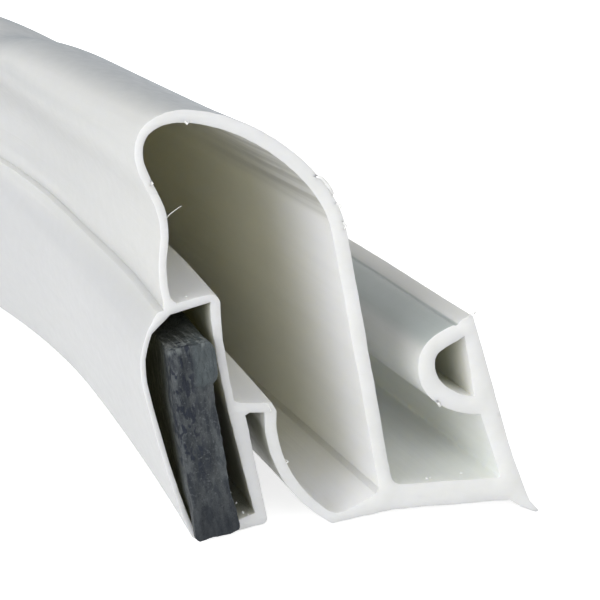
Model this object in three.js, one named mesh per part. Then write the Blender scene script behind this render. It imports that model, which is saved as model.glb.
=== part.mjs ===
// A cut length of refrigerator door gasket: a hollow strip of soft white PVC, extruded in one piece,
// with a flexible magnet strip lying loose in its pocket. Millimetres, +Z up.
//
// The section stands as the strip lies on a table, on the heel of its pocket and the edge of its lip.
// It is drawn with x across the strip, from the pocket towards the lip, and y upwards, and its own
// origin is the heel. The near cut end faces -Y, and the run leads off along +Y and then bends
// towards the pocket's side.
import * as THREE from "three";

// The run
const runLength = 100;
const straightLead = 18;
const bendRadius = 60;
const runSteps = 18;

// The seat: the thick floor of the retaining channel, which lies against the door
const seatClearance = 0.8;
const seatThickness = 1.3;
const channelWidth = 6.3;
const channelFillet = 0.6;
const retainerFillet = 0.25;
const seatOverhang = 3;
const seatEdgeThickness = 0.45;
const seatEdgeDrop = 0.45;

// The main wall between channel and bubble, up to the shoulder where the roof starts
const heelToChannel = 10;
const mainWallThickness = 0.7;
const mainWallLean = 20;
const shoulderRise = 12.9;

// The bubble that fills the gap between door and cabinet
const sealHeight = 20;
const crownSetback = 3;
const bubbleBulge = 5.17;
const bulgeDrop = 1.65;
const waistSetback = 3.55;
const waistDrop = 5.9;
const roofThickness = 0.55;
const backThickness = 0.36;

// The pocket that holds the magnet strip
const pocketHeight = 11.3;
const pocketWidth = 3.5;
const pocketNeck = 3.12;
const pocketLean = 19.2;
const pocketFaceThickness = 0.24;
const pocketFaceBow = 0.75;
const pocketWallThickness = 0.7;
const pocketWallBow = 0.2;
const pocketTopThickness = 0.4;
const pocketFloorThickness = 0.3;
const pocketCorner = 0.5;
const toeCorner = 0.35;
const creaseAcross = 1.1;

// The short bridge and the curved gusset that tie the pocket to the seat
const bridgeRise = 5.42;
const bridgeLength = 1;
const bridgeThickness = 0.5;
const gussetThickness = 0.6;

// The retaining wall, its hollow D-shaped bulb and the thin lip at its foot
const retainerLean = 27;
const retainerHeight = 9.3;
const retainerThickness = 0.9;
const bulbStart = 4.4;
const bulbReach = 1.5;
const bulbNoseDrop = 1.85;
const bulbShell = 0.9;
const bulbBackThickness = 0.55;
const lipReach = 2.3;
const lipTipThickness = 0.16;

// The magnet strip
const magnetHeight = 9.4;
const magnetThickness = 1.9;
const magnetCorner = 0.25;
const magnetTilt = 2.5;
const magnetProud = 0.8;
const magnetEndGap = 0.5;
const looseFit = 0.26;

// How the strip settles behind the cut: the pocket tucks in under the bubble and the crown sags
const pocketTuck = 2.6;
const crownSag = 1.2;
const settleLength = 20;

// The model's origin: on the seat's underside, below the middle of the channel, behind the cut
const originAcross = heelToChannel + channelWidth / 2;
const originBehindCut = 10;

const { lerp, smoothstep, degToRad } = THREE.MathUtils;
const point = (x, y) => new THREE.Vector2(x, y);
const shifted = (from, x, y) => point(from.x + x, from.y + y);
const seatTop = seatClearance + seatThickness;

// A frame that leans to the left of upright. Up runs along the wall, and across runs to its right.
function leaningFrame(foot, lean) {
  const angle = degToRad(lean);
  const rise = point(-Math.sin(angle), Math.cos(angle));
  const side = point(rise.y, -rise.x);
  return (up, across) => foot.clone().addScaledVector(rise, up).addScaledVector(side, across);
}

// Both sides of a wall that follows a curve while its thickness changes evenly.
function wallSides(curve, startThickness, endThickness, segments) {
  const left = [];
  const right = [];
  for (let i = 0; i <= segments; i++) {
    const t = i / segments;
    const heading = curve.getTangent(t);
    const half = lerp(startThickness, endThickness, t) / 2;
    const offset = point(-heading.y, heading.x).multiplyScalar(half);
    left.push(curve.getPoint(t).add(offset));
    right.push(curve.getPoint(t).sub(offset));
  }
  return { left, right };
}

// The arc that rounds a corner between two straight edges, kept within the shorter edge.
function rounded(before, corner, after, radius, segments) {
  const toBefore = before.clone().sub(corner);
  const toAfter = after.clone().sub(corner);
  const cut = Math.min(radius, toBefore.length() / 2, toAfter.length() / 2);
  const start = corner.clone().addScaledVector(toBefore.normalize(), cut);
  const end = corner.clone().addScaledVector(toAfter.normalize(), cut);
  return new THREE.QuadraticBezierCurve(start, corner, end).getPoints(segments);
}

// Main wall: its right face rises from the end of the channel floor.
const onMainWall = leaningFrame(point(heelToChannel, seatTop), mainWallLean);
const shoulderUp = shoulderRise / Math.cos(degToRad(mainWallLean));
const shoulder = onMainWall(shoulderUp, -mainWallThickness / 2);

// Pocket: a leaning box with its heel at the section's origin.
const inPocket = leaningFrame(point(0, 0), pocketLean);
const pocketRoof = pocketHeight + pocketTopThickness;
const crease = inPocket(pocketRoof, creaseAcross);

// Bubble: the roof runs from the shoulder to the crown, then round the back and down to the crease.
const crown = point(-crownSetback, sealHeight - roofThickness / 2);
const bulge = point(-bubbleBulge + backThickness / 2, sealHeight - bulgeDrop);
const waist = point(-waistSetback + backThickness / 2, sealHeight - waistDrop);
const roofSpan = shoulder.x - crown.x;
const roof = new THREE.CubicBezierCurve(
  shoulder,
  onMainWall(shoulderUp + roofSpan * 0.3, -mainWallThickness / 2),
  shifted(crown, roofSpan * 0.42, 0),
  crown,
);
const back = new THREE.CubicBezierCurve(
  crown,
  point(lerp(crown.x, bulge.x, 0.6), crown.y),
  point(bulge.x, lerp(bulge.y, crown.y, 0.6)),
  bulge,
);
const fall = new THREE.CubicBezierCurve(
  bulge,
  point(bulge.x, lerp(bulge.y, waist.y, 0.33)),
  point(waist.x, lerp(waist.y, bulge.y, 0.5)),
  waist,
);
const narrow = new THREE.QuadraticBezierCurve(waist, point(waist.x, lerp(waist.y, crease.y, 0.5)), crease);
const roofSides = wallSides(roof, mainWallThickness, roofThickness, 12);
const backSides = wallSides(back, roofThickness, backThickness, 5);
const fallSides = wallSides(fall, backThickness, backThickness, 6);
const narrowSides = wallSides(narrow, backThickness, backThickness, 3);

// The pocket's thin face bows outwards between the crease and the heel.
const face = new THREE.SplineCurve([
  inPocket(pocketHeight + 0.2, 0.6),
  inPocket(pocketHeight - 0.7, -0.13),
  inPocket(pocketHeight * 0.8, 0.07 - pocketFaceBow),
  inPocket(pocketHeight * 0.5, 0.11 - pocketFaceBow),
  inPocket(pocketHeight * 0.2, 0.37 - pocketFaceBow),
  inPocket(0.35, -0.09),
]);
const faceSides = wallSides(face, pocketFaceThickness, pocketFaceThickness, 10);

// Gusset: from the bridge, down and round to the edge of the seat.
const bridgeStart = inPocket(bridgeRise, pocketWidth);
const bridgeEnd = shifted(bridgeStart, bridgeLength + gussetThickness / 2, 0);
const seatEdge = point(heelToChannel - seatOverhang, seatClearance - seatEdgeDrop);
const gussetEnd = shifted(seatEdge, 0, seatEdgeThickness / 2);
const gusset = new THREE.CubicBezierCurve(
  bridgeEnd,
  point(lerp(bridgeEnd.x, gussetEnd.x, 0.04), lerp(bridgeEnd.y, gussetEnd.y, 0.36)),
  point(lerp(bridgeEnd.x, gussetEnd.x, 0.42), lerp(bridgeEnd.y, gussetEnd.y, 0.78)),
  gussetEnd,
);
const gussetSides = wallSides(gusset, gussetThickness, seatEdgeThickness, 8);

// Retaining wall: its inner face rises from the other end of the channel floor.
const retainerFoot = point(heelToChannel + channelWidth, seatTop);
const onRetainer = leaningFrame(retainerFoot, retainerLean);
const lipTip = point(retainerFoot.x + seatThickness + lipReach - retainerThickness, 0);

// Bulb: a shell that leaves the wall, swells into the channel and comes back at the wall's top.
const bulbRoot = onRetainer(bulbStart, bulbShell * 0.1);
const bulbHead = onRetainer(retainerHeight - bulbShell * 0.5, bulbShell * 0.4);
const bulbNose = shifted(bulbHead, -bulbReach - bulbShell / 2, -bulbNoseDrop);
const bulbUnder = new THREE.CubicBezierCurve(
  bulbRoot,
  point(lerp(bulbRoot.x, bulbNose.x, 0.45), bulbRoot.y),
  point(bulbNose.x, lerp(bulbNose.y, bulbRoot.y, 0.65)),
  bulbNose,
);
const bulbOver = new THREE.CubicBezierCurve(
  bulbNose,
  point(bulbNose.x, lerp(bulbNose.y, bulbHead.y, 0.5)),
  point(lerp(bulbNose.x, bulbHead.x, 0.4), lerp(bulbNose.y, bulbHead.y, 0.75)),
  bulbHead,
);
const underSides = wallSides(bulbUnder, bulbShell, bulbShell, 8);
const overSides = wallSides(bulbOver, bulbShell, bulbShell, 5);

// Outline of the profile, clockwise from the heel. The shape takes it turned round.
const toe = inPocket(-pocketFloorThickness * 1.85, pocketWidth + 0.05);
const pocketUnder = inPocket(-pocketFloorThickness * 0.6, pocketWidth / 3);
const outline = [
  ...faceSides.right.slice().reverse(),
  inPocket(pocketRoof - 0.1, creaseAcross - 0.25),
  ...narrowSides.right.slice(1, -1).reverse(),
  ...fallSides.right.slice(1).reverse(),
  ...backSides.right.slice(1).reverse(),
  ...roofSides.right.slice().reverse(),
  ...rounded(onMainWall(shoulderUp, 0), point(heelToChannel, seatTop), retainerFoot, channelFillet, 4),
  ...rounded(point(heelToChannel, seatTop), retainerFoot, onRetainer(bulbStart, 0), retainerFillet, 2),
  ...underSides.left,
  ...overSides.left.slice(1, -1),
  onRetainer(retainerHeight, 0.2),
  onRetainer(retainerHeight, retainerThickness),
  onRetainer(1.6, retainerThickness),
  onRetainer(0.2, retainerThickness + 0.1),
  shifted(lipTip, -lipReach * 0.28, seatClearance * 0.85),
  shifted(lipTip, 0, lipTipThickness * 0.4),
  shifted(lipTip, -lipTipThickness, 0),
  shifted(lipTip, -lipReach * 0.5, seatClearance * 0.42),
  point(retainerFoot.x + seatThickness * 0.6, seatClearance),
  point(heelToChannel + 0.4, seatClearance),
  seatEdge,
  ...gussetSides.right.slice().reverse(),
  shifted(bridgeStart, 0.25, 0),
  inPocket(bridgeRise - 0.12, pocketWidth),
  ...rounded(inPocket(bridgeRise, pocketWidth), toe, pocketUnder, toeCorner, 3),
  pocketUnder,
  inPocket(-0.04, 0.12),
];

// The bubble's hollow, from the seat up the main wall and round to the pocket and the gusset.
const seatHollow = point(heelToChannel - seatOverhang, seatEdge.y + seatEdgeThickness);
const pocketShelf = inPocket(pocketRoof - 0.05, creaseAcross * 2);
const neckTop = inPocket(pocketHeight * 0.82, pocketNeck + 0.06);
const bubbleHollow = [
  onMainWall(0.15, -mainWallThickness),
  ...roofSides.left,
  ...backSides.left.slice(1),
  ...fallSides.left.slice(1),
  ...narrowSides.left.slice(1, -1),
  inPocket(pocketRoof, creaseAcross + backThickness),
  pocketShelf,
  ...rounded(pocketShelf, inPocket(pocketRoof - 0.2, pocketNeck + 0.36), neckTop, pocketCorner, 3),
  neckTop,
  inPocket(bridgeRise + 1.3, pocketNeck),
  shifted(bridgeStart, -bridgeThickness * 0.8, bridgeThickness * 1.05),
  shifted(bridgeEnd, 0, bridgeThickness * 0.85),
  ...gussetSides.left,
  shifted(seatHollow, seatOverhang * 0.4, seatThickness * 0.3),
  shifted(seatHollow, seatOverhang * 0.72, seatThickness * 0.68),
];

// The pocket's hollow, drawn in the pocket's own leaning frame.
const pocketInner = pocketWidth - pocketWallThickness;
const pocketHollow = [
  inPocket(pocketFloorThickness, 0.1),
  ...faceSides.left.slice(1, -1).reverse(),
  inPocket(pocketHeight, creaseAcross),
  inPocket(pocketHeight - 0.1, pocketInner + pocketWallBow),
  inPocket(pocketHeight * 0.92, pocketInner + pocketWallBow * 0.3),
  inPocket(pocketHeight * 0.76, pocketInner - pocketWallBow * 0.25),
  inPocket(pocketHeight * 0.6, pocketInner - pocketWallBow * 0.25),
  inPocket(pocketHeight * 0.4, pocketInner),
  inPocket(pocketFloorThickness * 0.7, pocketInner + pocketWallBow),
];

// The bulb's hollow, closed by the retaining wall behind it.
const bulbHollow = [
  onRetainer(bulbStart + bulbShell, retainerThickness - bulbBackThickness),
  ...underSides.right.slice(1),
  ...overSides.right.slice(1, -2),
  onRetainer(retainerHeight - bulbShell * 1.1, retainerThickness - bulbBackThickness),
];

const section = new THREE.Shape(outline.reverse());
section.holes = [bubbleHollow, pocketHollow, bulbHollow].map((points) => new THREE.Path(points));

// Magnet strip: a bar with its corners rounded, standing on the pocket's floor in the pocket's frame.
const magnetFoot = inPocket(pocketFloorThickness + looseFit, looseFit);
const inMagnet = leaningFrame(magnetFoot, pocketLean - magnetTilt);
const magnetCorners = [
  inMagnet(0, 0),
  inMagnet(magnetHeight, 0),
  inMagnet(magnetHeight, magnetThickness),
  inMagnet(0, magnetThickness),
];
const magnetSection = new THREE.Shape(
  magnetCorners.flatMap((corner, i) =>
    rounded(magnetCorners.at(i - 1), corner, magnetCorners[(i + 1) % 4], magnetCorner, 3),
  ),
);

// How much of the pocket's tuck a point of the section takes: all of it on the pocket, and none on
// the seat and the main wall.
function tuckShare(x, y) {
  const pocketSide = pocketWidth / Math.cos(degToRad(pocketLean)) - y * Math.tan(degToRad(pocketLean));
  const wallSide = heelToChannel - (y - seatTop) * Math.tan(degToRad(mainWallLean)) - mainWallThickness;
  const stillSide = Math.min(heelToChannel - seatOverhang, wallSide);
  const across = 1 - smoothstep(x, Math.min(pocketSide, stillSide - 1), stillSide);
  return across * (1 - smoothstep(y, pocketRoof, sealHeight));
}

// Carries a point of the section to its place on the run, at a distance along it from the cut.
function carry(x, y, distance) {
  const settled = 1 - Math.exp(-Math.max(distance, 0) / settleLength);
  const across = x + pocketTuck * settled * tuckShare(x, y) - originAcross;
  const height = y - crownSag * settled * smoothstep(y, pocketRoof, sealHeight) - seatClearance;
  const lead = Math.min(distance, straightLead);
  const turn = (distance - lead) / bendRadius;
  const reach = bendRadius + originAcross + across;
  return new THREE.Vector3(
    across - reach * (1 - Math.cos(turn)),
    lead + reach * Math.sin(turn) - originBehindCut,
    height,
  );
}

// Sweeps a section along the run between two distances from the cut. The extrusion starts at the
// far end and comes back to the cut, which keeps its faces the right way out.
function sweep(shape, start, end, color, roughness) {
  const geometry = new THREE.ExtrudeGeometry(shape, {
    depth: end - start,
    steps: runSteps,
    bevelEnabled: false,
  });
  const vertices = geometry.attributes.position;
  for (let i = 0; i < vertices.count; i++) {
    const place = carry(vertices.getX(i), vertices.getY(i), end - vertices.getZ(i));
    vertices.setXYZ(i, place.x, place.y, place.z);
  }
  return new THREE.Mesh(geometry, new THREE.MeshStandardMaterial({ color, roughness, metalness: 0 }));
}

const profile = sweep(section, 0, runLength, 0xe4e7e8, 0.4);
profile.name = "gasket_profile";
const magnet = sweep(magnetSection, -magnetProud, runLength - magnetEndGap, 0x4a5056, 0.75);
magnet.name = "magnet_strip";

const gasket = new THREE.Group();
gasket.add(profile, magnet);
export default gasket;
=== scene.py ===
import math

import bmesh
import bpy
from mathutils import Matrix, Vector, noise
from mathutils.geometry import interpolate_bezier


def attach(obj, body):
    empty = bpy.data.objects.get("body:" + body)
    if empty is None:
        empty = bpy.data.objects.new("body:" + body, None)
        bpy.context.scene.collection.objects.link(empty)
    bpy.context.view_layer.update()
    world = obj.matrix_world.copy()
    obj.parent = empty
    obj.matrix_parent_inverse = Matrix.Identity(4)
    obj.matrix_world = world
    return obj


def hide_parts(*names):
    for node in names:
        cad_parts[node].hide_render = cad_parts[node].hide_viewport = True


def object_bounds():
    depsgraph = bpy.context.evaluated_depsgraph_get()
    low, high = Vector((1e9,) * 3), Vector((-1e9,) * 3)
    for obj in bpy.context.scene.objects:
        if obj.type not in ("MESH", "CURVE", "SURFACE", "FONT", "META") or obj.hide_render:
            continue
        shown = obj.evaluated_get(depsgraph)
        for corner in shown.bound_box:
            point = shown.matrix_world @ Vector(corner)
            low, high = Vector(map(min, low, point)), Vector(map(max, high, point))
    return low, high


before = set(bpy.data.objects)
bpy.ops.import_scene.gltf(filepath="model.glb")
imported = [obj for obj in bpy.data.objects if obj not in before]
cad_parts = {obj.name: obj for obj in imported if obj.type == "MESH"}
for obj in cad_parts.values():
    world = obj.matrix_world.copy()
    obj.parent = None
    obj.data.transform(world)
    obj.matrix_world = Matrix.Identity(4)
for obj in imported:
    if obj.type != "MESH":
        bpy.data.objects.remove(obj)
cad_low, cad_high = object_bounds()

# Camera
# A close view of the cut end from its left and a little above, with the camera tipped to its
# left. Its place is in the part's own frame, in metres.
CAMERA_PLACE = Vector((-0.04247, -0.07017, 0.03143))
CAMERA_HEADING = Vector((0.4586, 0.8407, -0.2879))
CAMERA_ROLL = math.radians(8.2)

camera = bpy.data.objects.new("camera", bpy.data.cameras.new("camera"))
camera.data.sensor_width = 36
camera.data.lens = 96
camera.data.clip_start = 0.002
camera.matrix_world = (
    Matrix.Translation(CAMERA_PLACE)
    @ CAMERA_HEADING.to_track_quat("-Z", "Y").to_matrix().to_4x4()
    @ Matrix.Rotation(CAMERA_ROLL, 4, "Z"))
bpy.context.collection.objects.link(camera)
bpy.context.scene.camera = camera

# Gasket profile
# The white strip is one extrusion of soft PVC: bubble, magnet pocket, gusset, seat, retaining
# channel and lip. Its section is drawn in millimetres, x across from the pocket's heel towards
# the lip and y upwards, and is carried along the bent run.
MM = 0.001
RUN_LENGTH = 100
STRAIGHT_LEAD = 18
BEND_RADIUS = 60

SEAT_CLEARANCE = 0.8
SEAT_THICKNESS = 1.3
SEAT_TOP = SEAT_CLEARANCE + SEAT_THICKNESS
SEAT_OVERHANG = 3
SEAT_EDGE_THICKNESS = 0.45
SEAT_EDGE_DROP = 0.45
CHANNEL_WIDTH = 6.3
CHANNEL_FILLET = 0.6
RETAINER_FILLET = 0.25

HEEL_TO_CHANNEL = 10
MAIN_WALL_THICKNESS = 0.7
MAIN_WALL_LEAN = math.radians(20)
SHOULDER_RISE = 12.9

SEAL_HEIGHT = 20
CROWN_SETBACK = 3
BUBBLE_BULGE = 5.17
BULGE_DROP = 1.65
WAIST_SETBACK = 3.55
WAIST_DROP = 5.9
ROOF_THICKNESS = 0.55
BACK_THICKNESS = 0.36

POCKET_HEIGHT = 11.3
POCKET_WIDTH = 3.5
POCKET_NECK = 3.12
POCKET_LEAN = math.radians(19.2)
POCKET_FACE_THICKNESS = 0.24
POCKET_FACE_BOW = 0.75
POCKET_WALL_THICKNESS = 0.7
POCKET_WALL_BOW = 0.2
POCKET_TOP_THICKNESS = 0.4
POCKET_FLOOR_THICKNESS = 0.3
POCKET_ROOF = POCKET_HEIGHT + POCKET_TOP_THICKNESS
POCKET_CORNER = 0.5
TOE_CORNER = 0.35
CREASE_ACROSS = 1.1

BRIDGE_RISE = 5.42
BRIDGE_LENGTH = 1
BRIDGE_THICKNESS = 0.5
GUSSET_THICKNESS = 0.6

RETAINER_LEAN = math.radians(27)
RETAINER_HEIGHT = 9.3
RETAINER_THICKNESS = 0.9
RETAINER_GROOVE = 0.06
BULB_START = 4.4
BULB_REACH = 1.4
BULB_NOSE_DROP = 1.6
BULB_SHELL = 0.9
BULB_BACK_TOP = 0.7
BULB_BACK_FOOT = 1.1
LIP_REACH = 2.3
LIP_TIP_THICKNESS = 0.16

POCKET_TUCK = 2.6
CROWN_SAG = 1.2
SETTLE_LENGTH = 20
ORIGIN_ACROSS = HEEL_TO_CHANNEL + CHANNEL_WIDTH / 2
ORIGIN_BEHIND_CUT = 10

POINT_SPACING = 0.42


def mix(a, b, share):
    return a + (b - a) * share


def smooth_step(value, low, high):
    share = min(max((value - low) / (high - low), 0), 1)
    return share * share * (3 - 2 * share)


def leaning_frame(foot, lean):
    rise = Vector((-math.sin(lean), math.cos(lean)))
    side = Vector((rise.y, -rise.x))
    return lambda up, across: Vector(foot) + rise * up + side * across


def along_bezier(knot_1, handle_1, handle_2, knot_2, segments):
    points = interpolate_bezier(knot_1, handle_1, handle_2, knot_2, segments + 1)
    return [point.to_2d() for point in points]


def through_points(points, segments):
    route = [points[0]]
    for i in range(len(points) - 1):
        start, end = points[i], points[i + 1]
        before = points[max(i - 1, 0)]
        after = points[min(i + 2, len(points) - 1)]
        route += along_bezier(start, start + (end - before) / 6, end - (after - start) / 6, end, segments)[1:]
    return route


def both_sides(centre, start_thickness, end_thickness):
    left, right = [], []
    for i, point in enumerate(centre):
        heading = (centre[min(i + 1, len(centre) - 1)] - centre[max(i - 1, 0)]).normalized()
        thickness = mix(start_thickness, end_thickness, i / (len(centre) - 1))
        offset = Vector((-heading.y, heading.x)) * thickness / 2
        left.append(point + offset)
        right.append(point - offset)
    return left, right


def rounded(before, corner, after, radius, segments=6):
    cut = min(radius, (before - corner).length / 2, (after - corner).length / 2)
    start = corner + (before - corner).normalized() * cut
    end = corner + (after - corner).normalized() * cut
    return along_bezier(start, start.lerp(corner, 0.6), end.lerp(corner, 0.6), end, segments)


channel_corner = Vector((HEEL_TO_CHANNEL, SEAT_TOP))
retainer_foot = channel_corner + Vector((CHANNEL_WIDTH, 0))
on_main_wall = leaning_frame(channel_corner, MAIN_WALL_LEAN)
in_pocket = leaning_frame((0, 0), POCKET_LEAN)
on_retainer = leaning_frame(retainer_foot, RETAINER_LEAN)

shoulder_up = SHOULDER_RISE / math.cos(MAIN_WALL_LEAN)
shoulder = on_main_wall(shoulder_up, -MAIN_WALL_THICKNESS / 2)
crease = in_pocket(POCKET_ROOF, CREASE_ACROSS)
crown = Vector((-CROWN_SETBACK, SEAL_HEIGHT - ROOF_THICKNESS / 2))
bulge = Vector((-BUBBLE_BULGE + BACK_THICKNESS / 2, SEAL_HEIGHT - BULGE_DROP))
waist = Vector((-WAIST_SETBACK + BACK_THICKNESS / 2, SEAL_HEIGHT - WAIST_DROP))
roof_span = shoulder.x - crown.x
roof = along_bezier(
    shoulder,
    on_main_wall(shoulder_up + roof_span * 0.3, -MAIN_WALL_THICKNESS / 2),
    crown + Vector((roof_span * 0.42, 0)),
    crown,
    32)
back = along_bezier(
    crown,
    Vector((mix(crown.x, bulge.x, 0.6), crown.y)),
    Vector((bulge.x, mix(bulge.y, crown.y, 0.6))),
    bulge,
    14)
fall = along_bezier(
    bulge,
    Vector((bulge.x, mix(bulge.y, waist.y, 0.33))),
    Vector((waist.x, mix(waist.y, bulge.y, 0.5))),
    waist,
    16)
narrow = along_bezier(
    waist,
    Vector((waist.x, mix(waist.y, crease.y, 0.35))),
    Vector((mix(waist.x, crease.x, 0.3), mix(waist.y, crease.y, 0.7))),
    crease,
    9)
roof_left, roof_right = both_sides(roof, MAIN_WALL_THICKNESS, ROOF_THICKNESS)
back_left, back_right = both_sides(back, ROOF_THICKNESS, BACK_THICKNESS)
fall_left, fall_right = both_sides(fall, BACK_THICKNESS, BACK_THICKNESS)
narrow_left, narrow_right = both_sides(narrow, BACK_THICKNESS, BACK_THICKNESS)

face = through_points([
    in_pocket(POCKET_HEIGHT + 0.2, 0.6),
    in_pocket(POCKET_HEIGHT - 0.7, -0.13),
    in_pocket(POCKET_HEIGHT * 0.8, 0.07 - POCKET_FACE_BOW),
    in_pocket(POCKET_HEIGHT * 0.5, 0.11 - POCKET_FACE_BOW),
    in_pocket(POCKET_HEIGHT * 0.2, 0.37 - POCKET_FACE_BOW),
    in_pocket(0.35, -0.09)], 6)
face_left, face_right = both_sides(face, POCKET_FACE_THICKNESS, POCKET_FACE_THICKNESS)

bridge_start = in_pocket(BRIDGE_RISE, POCKET_WIDTH)
bridge_end = bridge_start + Vector((BRIDGE_LENGTH + GUSSET_THICKNESS / 2, 0))
seat_edge = Vector((HEEL_TO_CHANNEL - SEAT_OVERHANG, SEAT_CLEARANCE - SEAT_EDGE_DROP))
gusset_end = seat_edge + Vector((0, SEAT_EDGE_THICKNESS / 2))
gusset = along_bezier(
    bridge_end,
    Vector((mix(bridge_end.x, gusset_end.x, 0.04), mix(bridge_end.y, gusset_end.y, 0.36))),
    Vector((mix(bridge_end.x, gusset_end.x, 0.42), mix(bridge_end.y, gusset_end.y, 0.78))),
    gusset_end,
    20)
gusset_left, gusset_right = both_sides(gusset, GUSSET_THICKNESS, SEAT_EDGE_THICKNESS)

bulb_root = on_retainer(BULB_START, BULB_SHELL * 0.1)
bulb_head = on_retainer(RETAINER_HEIGHT - BULB_SHELL * 0.5, BULB_SHELL * 0.4)
bulb_nose = bulb_head + Vector((-BULB_REACH - BULB_SHELL / 2, -BULB_NOSE_DROP))
bulb_under = along_bezier(
    bulb_root,
    Vector((mix(bulb_root.x, bulb_nose.x, 0.45), bulb_root.y)),
    Vector((bulb_nose.x, mix(bulb_nose.y, bulb_root.y, 0.65))),
    bulb_nose,
    16)
bulb_over = along_bezier(
    bulb_nose,
    Vector((bulb_nose.x, mix(bulb_nose.y, bulb_head.y, 0.45))),
    Vector((mix(bulb_nose.x, bulb_head.x, 0.35), mix(bulb_nose.y, bulb_head.y, 0.62))),
    bulb_head,
    12)
under_left, under_right = both_sides(bulb_under, BULB_SHELL, BULB_SHELL)
over_left, over_right = both_sides(bulb_over, BULB_SHELL, BULB_SHELL)

lip_tip = Vector((retainer_foot.x + SEAT_THICKNESS + LIP_REACH - RETAINER_THICKNESS, 0))
lip_back = lip_tip + Vector((-LIP_REACH * 0.28, SEAT_CLEARANCE * 0.85))
lip_under = lip_tip + Vector((-LIP_REACH * 0.5, SEAT_CLEARANCE * 0.46))
toe = in_pocket(-POCKET_FLOOR_THICKNESS * 1.85, POCKET_WIDTH + 0.05)
pocket_under = in_pocket(-POCKET_FLOOR_THICKNESS * 0.6, POCKET_WIDTH / 3)
retainer_head = on_retainer(RETAINER_HEIGHT, RETAINER_THICKNESS)
retainer_back = on_retainer(0.2, RETAINER_THICKNESS + 0.1)

outer_loop = [
    *reversed(face_right),
    in_pocket(POCKET_ROOF - 0.1, CREASE_ACROSS - 0.25),
    *reversed(narrow_right[1:-1]),
    *reversed(fall_right[1:]),
    *reversed(back_right[1:]),
    *reversed(roof_right),
    *rounded(on_main_wall(shoulder_up, 0), channel_corner, retainer_foot, CHANNEL_FILLET, 8),
    *rounded(channel_corner, retainer_foot, on_retainer(BULB_START, 0), RETAINER_FILLET),
    *under_left,
    *over_left[1:-3],
    *through_points([
        over_left[-3],
        on_retainer(RETAINER_HEIGHT - 0.06 - RETAINER_GROOVE, -0.06),
        on_retainer(RETAINER_HEIGHT - 0.02, 0.2),
        on_retainer(RETAINER_HEIGHT, 0.45)], 4)[1:],
    *rounded(on_retainer(RETAINER_HEIGHT, 0.45), retainer_head, retainer_back, 0.16),
    *through_points([on_retainer(1.6, RETAINER_THICKNESS), retainer_back, lip_back], 5),
    *rounded(lip_back, lip_tip + Vector((0.08, 0.05)), lip_tip + Vector((-0.1, -0.02)), LIP_TIP_THICKNESS),
    *rounded(lip_tip + Vector((0.08, 0.05)), lip_tip + Vector((-0.12, -0.02)), lip_under, 0.1),
    lip_under,
    Vector((retainer_foot.x + SEAT_THICKNESS * 0.6, SEAT_CLEARANCE)),
    Vector((HEEL_TO_CHANNEL + 0.4, SEAT_CLEARANCE)),
    seat_edge,
    *reversed(gusset_right),
    bridge_start + Vector((0.25, 0)),
    in_pocket(BRIDGE_RISE - 0.12, POCKET_WIDTH),
    *rounded(bridge_start, toe, pocket_under, TOE_CORNER),
    pocket_under,
    in_pocket(-0.04, 0.12)]

pocket_shelf = in_pocket(POCKET_ROOF - 0.05, CREASE_ACROSS * 2)
neck_top = in_pocket(POCKET_HEIGHT * 0.82, POCKET_NECK + 0.06)
neck_foot = in_pocket(BRIDGE_RISE + 1.3, POCKET_NECK)
bridge_top = bridge_start + Vector((-BRIDGE_THICKNESS * 0.8, BRIDGE_THICKNESS * 1.05))
bridge_corner = bridge_end + Vector((0, BRIDGE_THICKNESS * 0.85))
seat_hollow = seat_edge + Vector((0, SEAT_EDGE_THICKNESS))
bubble_hollow = [
    on_main_wall(0.15, -MAIN_WALL_THICKNESS),
    *roof_left,
    *back_left[1:],
    *fall_left[1:],
    *narrow_left[1:-1],
    in_pocket(POCKET_ROOF, CREASE_ACROSS + BACK_THICKNESS),
    pocket_shelf,
    *rounded(pocket_shelf, in_pocket(POCKET_ROOF - 0.2, POCKET_NECK + 0.36), neck_top, POCKET_CORNER, 8),
    *through_points([neck_top, neck_foot, bridge_top, bridge_corner], 5),
    *gusset_left[:-2],
    *through_points([
        gusset_left[-2],
        seat_hollow + Vector((0.25, 0.06)),
        seat_hollow + Vector((SEAT_OVERHANG * 0.4, SEAT_THICKNESS * 0.3)),
        seat_hollow + Vector((SEAT_OVERHANG * 0.72, SEAT_THICKNESS * 0.68))], 4)]

pocket_inner = POCKET_WIDTH - POCKET_WALL_THICKNESS
pocket_hollow = [
    in_pocket(POCKET_FLOOR_THICKNESS, 0.1),
    *reversed(face_left[5:-1]),
    in_pocket(POCKET_HEIGHT, CREASE_ACROSS),
    *through_points([
        in_pocket(POCKET_HEIGHT - 0.1, pocket_inner + POCKET_WALL_BOW),
        in_pocket(POCKET_HEIGHT * 0.92, pocket_inner + POCKET_WALL_BOW * 0.3),
        in_pocket(POCKET_HEIGHT * 0.76, pocket_inner - POCKET_WALL_BOW * 0.25),
        in_pocket(POCKET_HEIGHT * 0.6, pocket_inner - POCKET_WALL_BOW * 0.25),
        in_pocket(POCKET_HEIGHT * 0.4, pocket_inner),
        in_pocket(POCKET_FLOOR_THICKNESS * 0.7, pocket_inner + POCKET_WALL_BOW)], 4)]

hollow_foot = on_retainer(BULB_START + BULB_SHELL * 0.8, RETAINER_THICKNESS - BULB_BACK_FOOT)
hollow_head = on_retainer(RETAINER_HEIGHT - BULB_SHELL * 0.95, RETAINER_THICKNESS - BULB_BACK_TOP)
bulb_hollow = [
    hollow_foot,
    *[point for point in under_right if point.x < hollow_foot.x - 0.15],
    *[point for point in over_right[1:] if point.x < hollow_head.x - 0.15],
    hollow_head]


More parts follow.
